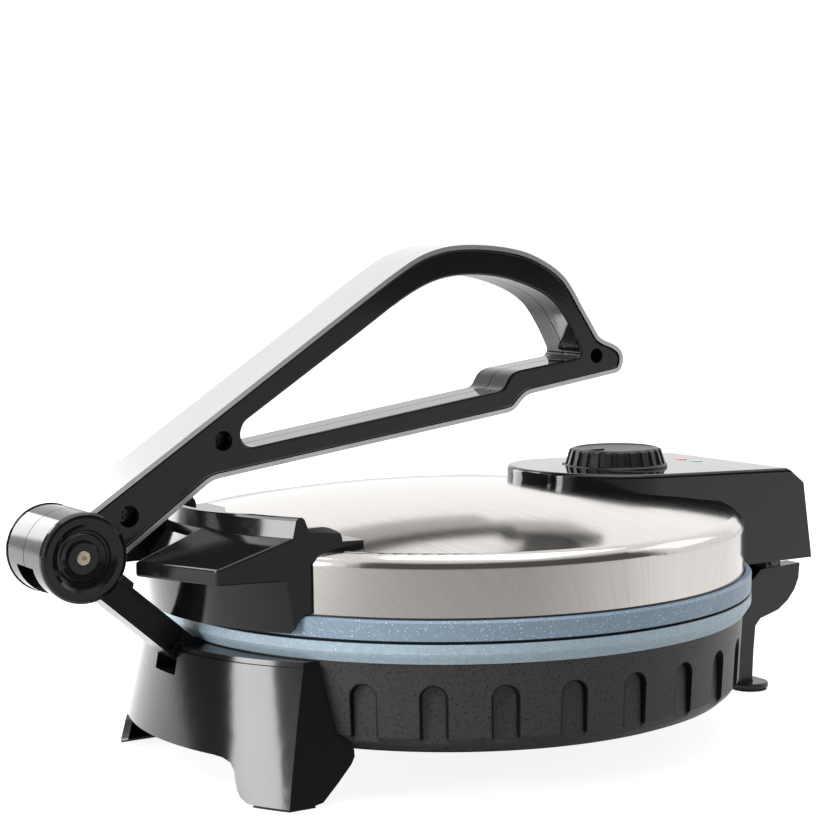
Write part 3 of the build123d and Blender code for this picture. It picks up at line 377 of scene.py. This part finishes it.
def brushed_metal(name, colour, rough, across, along, find_position, depth=0.004 * MM):
    """Brushed sheet: fine parallel lines in colour, gloss and relief."""
    material, tree, shader, place = start_material(name, {"Metallic": 1.0})
    lines = use_group(tree, "Brush Lines", Vector=find_position(tree, place), Across=across,
                      Along=along)
    mixed = maths(tree, "MULTIPLY_ADD", lines.outputs["Fine"], 0.6,
                  maths(tree, "MULTIPLY", lines.outputs["Broad"], 0.4))
    dark = tuple(c * (1.0 - BRUSH_CONTRAST) for c in colour)
    paint = blend(tree, ramp(tree, mixed, 0.3, 0.7), dark, colour)
    tree.links.new(paint, shader.inputs["Base Color"])
    gloss = add_node(tree, "ShaderNodeMapRange", {
        "Value": mixed, "From Min": 0.3, "From Max": 0.7, "To Min": rough[1], "To Max": rough[0],
    })
    tree.links.new(gloss.outputs["Result"], shader.inputs["Roughness"])
    lift = maths(tree, "MULTIPLY", lines.outputs["Fine"], depth)
    bump = add_node(tree, "ShaderNodeBump", {"Strength": 1.0, "Distance": 1.0, "Height": lift})
    tree.links.new(bump.outputs["Normal"], shader.inputs["Normal"])
    return material


def plain_metal(name, colour, rough):
    """Turned or plated small part: slight cloudiness and a fine tooth."""
    material, tree, shader, place = start_material(name, {"Metallic": 1.0})
    cloud = add_node(tree, "ShaderNodeTexNoise", {
        "Vector": place, "Scale": 420.0, "Detail": 3.0, "Roughness": 0.6,
    })
    dark = tuple(c * 0.72 for c in colour)
    paint = blend(tree, ramp(tree, cloud.outputs["Fac"], 0.3, 0.7), dark, colour)
    tree.links.new(paint, shader.inputs["Base Color"])
    add_marks(tree, shader, place, 160.0, rough)
    add_skin(tree, shader, place, 2200.0, 0.006 * MM)
    return material


def tinted_lens(name, colour):
    """Small indicator lens: deep colour with paler, faintly uneven ribs."""
    material, tree, shader, place = start_material(name, {
        "Coat Weight": 0.4, "Coat Roughness": 0.08, "Specular IOR Level": 0.6,
    })
    ribs = add_node(tree, "ShaderNodeTexWave", {"Vector": place, "Scale": 320.0, "Distortion": 0.3},
                    bands_direction="X")
    pale = tuple(min(1.0, c * 1.5 + 0.04) for c in colour)
    tree.links.new(blend(tree, ribs.outputs["Fac"], colour, pale), shader.inputs["Base Color"])
    add_marks(tree, shader, place, 200.0, (0.12, 0.22))
    add_skin(tree, shader, place, 900.0, 0.01 * MM)
    return material


def dress(material, *nodes):
    """Gives pieces of the frame their finish."""
    for node in nodes:
        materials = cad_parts[node].data.materials
        materials.clear()
        materials.append(material)


# ---- stage --------------------------------------------------------------------------
def floor_material():
    """Pale floor that keeps its shadow and glows towards the camera and in reflections."""
    material, tree, shader, place = start_material("Pale Floor", {
        "Base Color": (0.42, 0.42, 0.42, 1.0), "Roughness": 0.8, "Specular IOR Level": 0.0,
    })
    path = add_node(tree, "ShaderNodeLightPath")
    mirrored = maths(tree, "MULTIPLY_ADD", toward(tree, place, *DIM_FLOOR), -FLOOR_MIRRORED,
                     FLOOR_MIRRORED)
    for zone, added in ((LEFT_FLOOR, LEFT_MIRRORED), (RIGHT_FLOOR, RIGHT_MIRRORED)):
        mirrored = maths(tree, "MULTIPLY_ADD", toward(tree, place, *zone), added, mirrored)
    reach = add_node(tree, "ShaderNodeVectorMath", {0: place}, operation="LENGTH")
    seen = ramp(tree, reach.outputs["Value"], *FAR_GLOW_REACH, FLOOR_GLOW, FLOOR_GLOW + FAR_GLOW)
    strength = maths(tree, "MULTIPLY_ADD", path.outputs["Is Camera Ray"], seen,
                     maths(tree, "MULTIPLY", path.outputs["Is Glossy Ray"], mirrored))
    glow = add_node(tree, "ShaderNodeEmission", {
        "Color": (1.0, 1.0, 1.0, 1.0), "Strength": strength,
    })
    both = add_node(tree, "ShaderNodeAddShader", {
        0: shader.outputs["BSDF"], 1: glow.outputs["Emission"],
    })
    tree.links.new(both.outputs["Shader"], tree.nodes["Material Output"].inputs["Surface"])
    return material


def make_floor(size):
    """A square floor just below the feet."""
    mesh = bpy.data.meshes.new("floor")
    shape = bmesh.new()
    bmesh.ops.create_grid(shape, x_segments=1, y_segments=1, size=size / 2)
    bmesh.ops.translate(shape, verts=shape.verts, vec=(0.0, 0.0, -FLOOR_DROP))
    shape.to_mesh(mesh)
    shape.free()
    mesh.materials.append(floor_material())
    floor = bpy.data.objects.new("floor", mesh)
    bpy.context.scene.collection.objects.link(floor)


def make_world(level):
    """A room that the camera sees white, with its own soft light.

    In reflections it is white too, apart from two dark zones and a brighter one low down."""
    world = bpy.data.worlds.new("Studio Room")
    bpy.context.scene.world = world
    world.use_nodes = True
    tree = world.node_tree
    background = tree.nodes["Background"]
    path = add_node(tree, "ShaderNodeLightPath")
    seen = maths(tree, "MAXIMUM", path.outputs["Is Camera Ray"],
                 path.outputs["Is Transmission Ray"])
    place = add_node(tree, "ShaderNodeTexCoord").outputs["Generated"]
    height = add_node(tree, "ShaderNodeSeparateXYZ", {"Vector": place}).outputs["Z"]
    zone_base, zone_top = (math.sin(math.radians(angle)) for angle in ROOM_ZONE_TOP)
    low = ramp(tree, height, zone_base, zone_top, 1.0, 0.0)
    dark = maths(tree, "MAXIMUM", *[toward(tree, place, *zone) for zone in DARK_ROOM])
    room = maths(tree, "MULTIPLY_ADD", maths(tree, "MULTIPLY", dark, low), -ROOM_DARKENING, 1.0)
    bright = maths(tree, "MULTIPLY", toward(tree, place, *BRIGHT_ROOM), low)
    room = maths(tree, "MULTIPLY_ADD", bright, BRIGHT_LIFT, room)
    gloss = maths(tree, "MULTIPLY", path.outputs["Is Glossy Ray"], room)
    special = maths(tree, "MAXIMUM", seen, path.outputs["Is Glossy Ray"])
    plain = maths(tree, "SUBTRACT", 1.0, special)
    strength = maths(tree, "MULTIPLY_ADD", plain, level, maths(tree, "ADD", seen, gloss))
    background.inputs["Color"].default_value = (1.0, 1.0, 1.0, 1.0)
    tree.links.new(strength, background.inputs["Strength"])


def make_lamps(level):
    """Softboxes by compass direction, height angle, distance, width, height and radiance."""
    lamps = [
        ("key_softbox", -128.0, 42.0, 1.9, 1.5, 0.8, 4.6),
        ("front_strip", -93.5, 11.0, 1.3, 0.45, 0.44, 9.5),
        ("left_panel", -164.0, 13.0, 1.4, 0.56, 0.7, 3.6),
        ("top_softbox", 45.0, 82.0, 1.7, 1.4, 1.4, 1.15),
        ("side_softbox", 75.0, 30.0, 1.8, 0.9, 0.9, 0.5),
    ]
    centre = Vector(LAMP_AIM)
    for name, azimuth, rise, distance, width, height, radiance in lamps:
        lamp = bpy.data.lights.new(name, "AREA")
        lamp.shape = "RECTANGLE"
        lamp.size = width
        lamp.size_y = height
        lamp.energy = level * WATTS_PER_RADIANCE * radiance * width * height
        holder = bpy.data.objects.new(name, lamp)
        bpy.context.scene.collection.objects.link(holder)
        turn = math.radians(azimuth)
        tilt = math.radians(rise)
        holder.location = centre + distance * Vector((
            math.cos(turn) * math.cos(tilt), math.sin(turn) * math.cos(tilt), math.sin(tilt)))
        aim = centre - holder.location
        holder.rotation_euler = aim.to_track_quat("-Z", "Y").to_euler()
        holder.visible_camera = False


def camera_axes():
    """The camera's right, up and backward axes, as the columns of a matrix."""
    turn = Matrix.Rotation(math.radians(CAMERA_AZIMUTH), 3, "Z")
    right = turn @ Vector((math.cos(CAMERA_YAW), -math.sin(CAMERA_YAW), 0.0))
    forward = turn @ Vector((math.sin(CAMERA_YAW) * math.cos(CAMERA_PITCH),
                             math.cos(CAMERA_YAW) * math.cos(CAMERA_PITCH),
                             -math.sin(CAMERA_PITCH)))
    up = right.cross(forward)
    rolled_right = math.cos(CAMERA_ROLL) * right + math.sin(CAMERA_ROLL) * up
    rolled_up = -math.sin(CAMERA_ROLL) * right + math.cos(CAMERA_ROLL) * up
    return Matrix((rolled_right, rolled_up, -forward)).transposed()


def make_camera():
    """A camera that sees the object from where the photograph does, as far as it was found."""
    camera = bpy.data.cameras.new("photo_view")
    holder = bpy.data.objects.new("photo_view", camera)
    bpy.context.scene.collection.objects.link(holder)
    bpy.context.scene.camera = holder
    holder.matrix_world = Matrix.Translation(Vector(CAMERA_PLACE)) @ camera_axes().to_4x4()
    camera.sensor_width = SENSOR_WIDTH
    camera.lens = FOCAL_LENGTH / PHOTO_SIDE * SENSOR_WIDTH
    camera.shift_x = (PHOTO_SIDE / 2 - AXIS_X) / PHOTO_SIDE
    camera.shift_y = (AXIS_Y - PHOTO_SIDE / 2) / PHOTO_SIDE
    camera.clip_start = 0.01
    camera.clip_end = 100.0


# ---- settings -----------------------------------------------------------------------
def colour_property(name, description, default):
    """A colour that a user can change."""
    return FloatVectorProperty(name=name, description=description, default=default, size=3,
                               min=0.0, max=1.0, subtype="COLOR")


class RotiBodySettings(bpy.types.PropertyGroup):
    """Colours of the lower body and of both heating plates."""
    body_colour: colour_property("Body", "Colour of the lower body", (0.062, 0.06, 0.062))
    bracket_colour: colour_property("Bracket", "Colour of the front bracket and of the grip",
                                    (0.009, 0.009, 0.01))
    coat_upper: colour_property("Upper plate", "Coat of the upper plate", (0.32, 0.43, 0.55))
    coat_lower: colour_property("Lower plate", "Coat of the lower plate", (0.5, 0.65, 0.76))


class RotiLidSettings(bpy.types.PropertyGroup):
    """Colours of the lid, its housing and the knob."""
    steel_colour: colour_property("Lid steel", "Colour of the steel lid", (0.67, 0.64, 0.61))
    housing_colour: colour_property("Housing", "Colour of the hinge housing",
                                    (0.006, 0.006, 0.0065))
    knob_colour: colour_property("Knob", "Colour of the heat knob", (0.022, 0.022, 0.024))


class RotiLeverSettings(bpy.types.PropertyGroup):
    """Colours of the press lever."""
    lever_colour: colour_property("Lever", "Colour of the lever plates", (0.007, 0.007, 0.0075))
    band_colour: colour_property("Band", "Colour of the lever band", (0.65, 0.645, 0.635))


class RotiStageSettings(bpy.types.PropertyGroup):
    """Size of the floor and levels of the light."""
    floor_size: FloatProperty(name="Floor size", description="Side of the floor", default=9.0,
                              min=1.0, unit="LENGTH")
    lamp_level: FloatProperty(name="Lamp level", description="Scales every softbox",
                              default=1.0, min=0.0)
    world_level: FloatProperty(name="Room level", description="Strength of the room's own light",
                               default=0.5, min=0.0)


# ---- operators ----------------------------------------------------------------------
class ROTI_OT_groups(bpy.types.Operator):
    """Build the shader groups that the finishes share"""
    bl_idname = "roti.groups"
    bl_label = "Shared Effects"

    def execute(self, context):
        build_specks()
        build_skin()
        build_marks()
        build_brush_lines()
        return {"FINISHED"}


class ROTI_OT_body(bpy.types.Operator):
    """Finish the lower body, its cover, both brackets, the pads and the terminal block"""
    bl_idname = "roti.body"
    bl_label = "Lower Body"

    def execute(self, context):
        settings = context.scene.roti_body
        # the body's plastic carries painted shade along the edges of its flutes
        shell = moulded_plastic("Speckled Body Plastic", settings.body_colour, (0.38, 0.48),
                                700.0, 0.03 * MM, specular=0.3, flutes=True,
                                specks={"Share": 0.85, "Scale": 1050.0, "Size": 0.3},
                                speck_colour=(0.016, 0.016, 0.017))
        dress(shell, "base_shell")
        bracket = bracket_plastic("Bracket Plastic", settings.bracket_colour)
        dress(bracket, "front_bracket")
        hinge = moulded_plastic("Hinge Bracket Plastic", (0.018, 0.018, 0.02), (0.3, 0.38), 900.0)
        dress(hinge, "rear_bracket")
        rubber = moulded_plastic("Foot Rubber", (0.02, 0.02, 0.021), (0.6, 0.75), 1800.0,
                                 0.02 * MM, specular=0.3)
        dress(rubber, "front_foot_pads", "rear_foot_pad", "cord_bush")
        cover = moulded_plastic("Bottom Cover Paint", (0.03, 0.03, 0.032), (0.42, 0.55), 1500.0)
        dress(cover, "base_bottom_cover")
        ceramic = moulded_plastic("Terminal Ceramic", (0.72, 0.7, 0.63), (0.35, 0.5), 900.0)
        dress(ceramic, "terminal_block")
        return {"FINISHED"}


class ROTI_OT_fasteners(bpy.types.Operator):
    """Finish the screws, the steel pins and the thermostat's shaft"""
    bl_idname = "roti.fasteners"
    bl_label = "Screws and Pins"

    def execute(self, context):
        zinc = plain_metal("Zinc Plate", (0.6, 0.6, 0.58), (0.25, 0.4))
        dress(zinc, "base_cover_screws", "front_bracket_screws")
        steel = plain_metal("Ground Steel", (0.62, 0.62, 0.61), (0.18, 0.3))
        dress(steel, "arm_pivot_pin", "thermostat_shaft")
        blued = plain_metal("Blued Steel", (0.09, 0.09, 0.1), (0.25, 0.4))
        dress(blued, "hinge_pin", "lever_screws")
        return {"FINISHED"}


class ROTI_OT_plates(bpy.types.Operator):
    """Finish the heating plates, their elements and the dark ring under the lid"""
    bl_idname = "roti.plates"
    bl_label = "Heating Plates"

    def execute(self, context):
        settings = context.scene.roti_body
        upper = granite_coat("Upper Granite Coat", settings.coat_upper, (0.28, 0.385, 0.5))
        dress(upper, "upper_heating_plate")
        lower = granite_coat("Lower Granite Coat", settings.coat_lower, (0.45, 0.58, 0.67))
        dress(lower, "lower_heating_plate")
        tube = plain_metal("Heat-tinted Tube", (0.36, 0.31, 0.27), (0.4, 0.6))
        dress(tube, "lower_heating_element", "upper_heating_element")
        ring = moulded_plastic("Ring Plastic", (0.022, 0.02, 0.02), (0.35, 0.45), 900.0)
        dress(ring, "lid_insulating_ring")
        return {"FINISHED"}


class ROTI_OT_lid(bpy.types.Operator):
    """Finish the steel lid and its grip"""
    bl_idname = "roti.lid"
    bl_label = "Lid"

    def execute(self, context):
        scene = context.scene
        steel = brushed_metal("Brushed Lid Steel", scene.roti_lid.steel_colour, (0.1, 0.17),
                              3400.0, 30.0, blank_position, depth=0.0025 * MM)
        dress(steel, "lid_shell")
        grip = bracket_plastic("Grip Plastic", scene.roti_body.bracket_colour)
        dress(grip, "lid_grip")
        return {"FINISHED"}


class ROTI_OT_housing(bpy.types.Operator):
    """Finish the hinge housing, its knob, lenses and thermostat"""
    bl_idname = "roti.housing"
    bl_label = "Hinge Housing"

    def execute(self, context):
        settings = context.scene.roti_lid
        cover = moulded_plastic("Housing Plastic", settings.housing_colour, (0.06, 0.1), 260.0,
                                0.006 * MM)
        dress(cover, "rear_housing")
        knob = moulded_plastic("Knob Plastic", settings.knob_colour, (0.36, 0.46), 1600.0)
        dress(knob, "thermostat_knob")
        dress(tinted_lens("Red Lens", (0.45, 0.02, 0.025)), "indicator_lens_red")
        dress(tinted_lens("Green Lens", (0.03, 0.3, 0.1)), "indicator_lens_green")
        plating = plain_metal("Thermostat Plating", (0.55, 0.52, 0.45), (0.3, 0.45))
        dress(plating, "thermostat")
        return {"FINISHED"}


class ROTI_OT_lever(bpy.types.Operator):
    """Finish the press lever, its barrel and its arm"""
    bl_idname = "roti.lever"
    bl_label = "Press Lever"

    def execute(self, context):
        settings = context.scene.roti_lever
        gloss = moulded_plastic("Lever Plastic", settings.lever_colour, (0.07, 0.12), 320.0,
                                0.006 * MM)
        dress(gloss, "lever_shell_near", "lever_shell_far", "barrel_cap_near", "barrel_cap_far")
        arm = moulded_plastic("Arm Plastic", (0.007, 0.007, 0.008), (0.18, 0.26), 900.0,
                              specular=0.25)
        dress(arm, "lever_arm")
        band = brushed_metal("Lever Band Steel", settings.band_colour, (0.16, 0.26), 3000.0, 90.0,
                             lengthwise_position)
        dress(band, "lever_band")
        pin = plain_metal("Warm Pin Plating", (0.86, 0.76, 0.58), (0.3, 0.42))
        dress(pin, "barrel_pin")
        nylon = moulded_plastic("Bush Nylon", (0.7, 0.66, 0.55), (0.4, 0.5), 900.0)
        dress(nylon, "barrel_bush")
        return {"FINISHED"}


class ROTI_OT_stage(bpy.types.Operator):
    """Set up the floor, the room, the softboxes and the camera"""
    bl_idname = "roti.stage"
    bl_label = "Stage"

    def execute(self, context):
        settings = context.scene.roti_stage
        make_floor(settings.floor_size)
        make_world(settings.world_level)
        make_lamps(settings.lamp_level)
        make_camera()
        context.scene.view_settings.view_transform = "Standard"
        return {"FINISHED"}


class ROTI_PT_panel(bpy.types.Panel):
    """Settings of the roti maker, and a button for each group of its pieces"""
    bl_idname = "ROTI_PT_panel"
    bl_label = "Roti Maker"
    bl_space_type = "VIEW_3D"
    bl_region_type = "UI"
    bl_category = "Roti Maker"

    def draw(self, context):
        for group in SETTINGS:
            settings = getattr(context.scene, group)
            box = self.layout.box()
            for key in settings.__annotations__:
                box.prop(settings, key)
        for step in STEPS:
            self.layout.operator(step.bl_idname)


SETTINGS = {
    "roti_body": RotiBodySettings, "roti_lid": RotiLidSettings, "roti_lever": RotiLeverSettings,
    "roti_stage": RotiStageSettings,
}
STEPS = (ROTI_OT_groups, ROTI_OT_body, ROTI_OT_fasteners, ROTI_OT_plates, ROTI_OT_lid,
         ROTI_OT_housing, ROTI_OT_lever, ROTI_OT_stage)


def register():
    """Registers the classes and hangs the settings on the scene."""
    for settings in SETTINGS.values():
        bpy.utils.register_class(settings)
    for name, settings in SETTINGS.items():
        setattr(bpy.types.Scene, name, PointerProperty(type=settings))
    for step in STEPS:
        bpy.utils.register_class(step)
    bpy.utils.register_class(ROTI_PT_panel)


def unregister():
    """Takes the classes and the settings away again."""
    bpy.utils.unregister_class(ROTI_PT_panel)
    for step in reversed(STEPS):
        bpy.utils.unregister_class(step)
    for name in SETTINGS:
        delattr(bpy.types.Scene, name)
    for settings in SETTINGS.values():
        bpy.utils.unregister_class(settings)


def main():
    """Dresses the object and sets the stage."""
    register()
    bpy.ops.roti.groups()
    bpy.ops.roti.body()
    bpy.ops.roti.fasteners()
    bpy.ops.roti.plates()
    bpy.ops.roti.lid()
    bpy.ops.roti.housing()
    bpy.ops.roti.lever()
    bpy.ops.roti.stage()


if __name__ == "__main__":
    main()
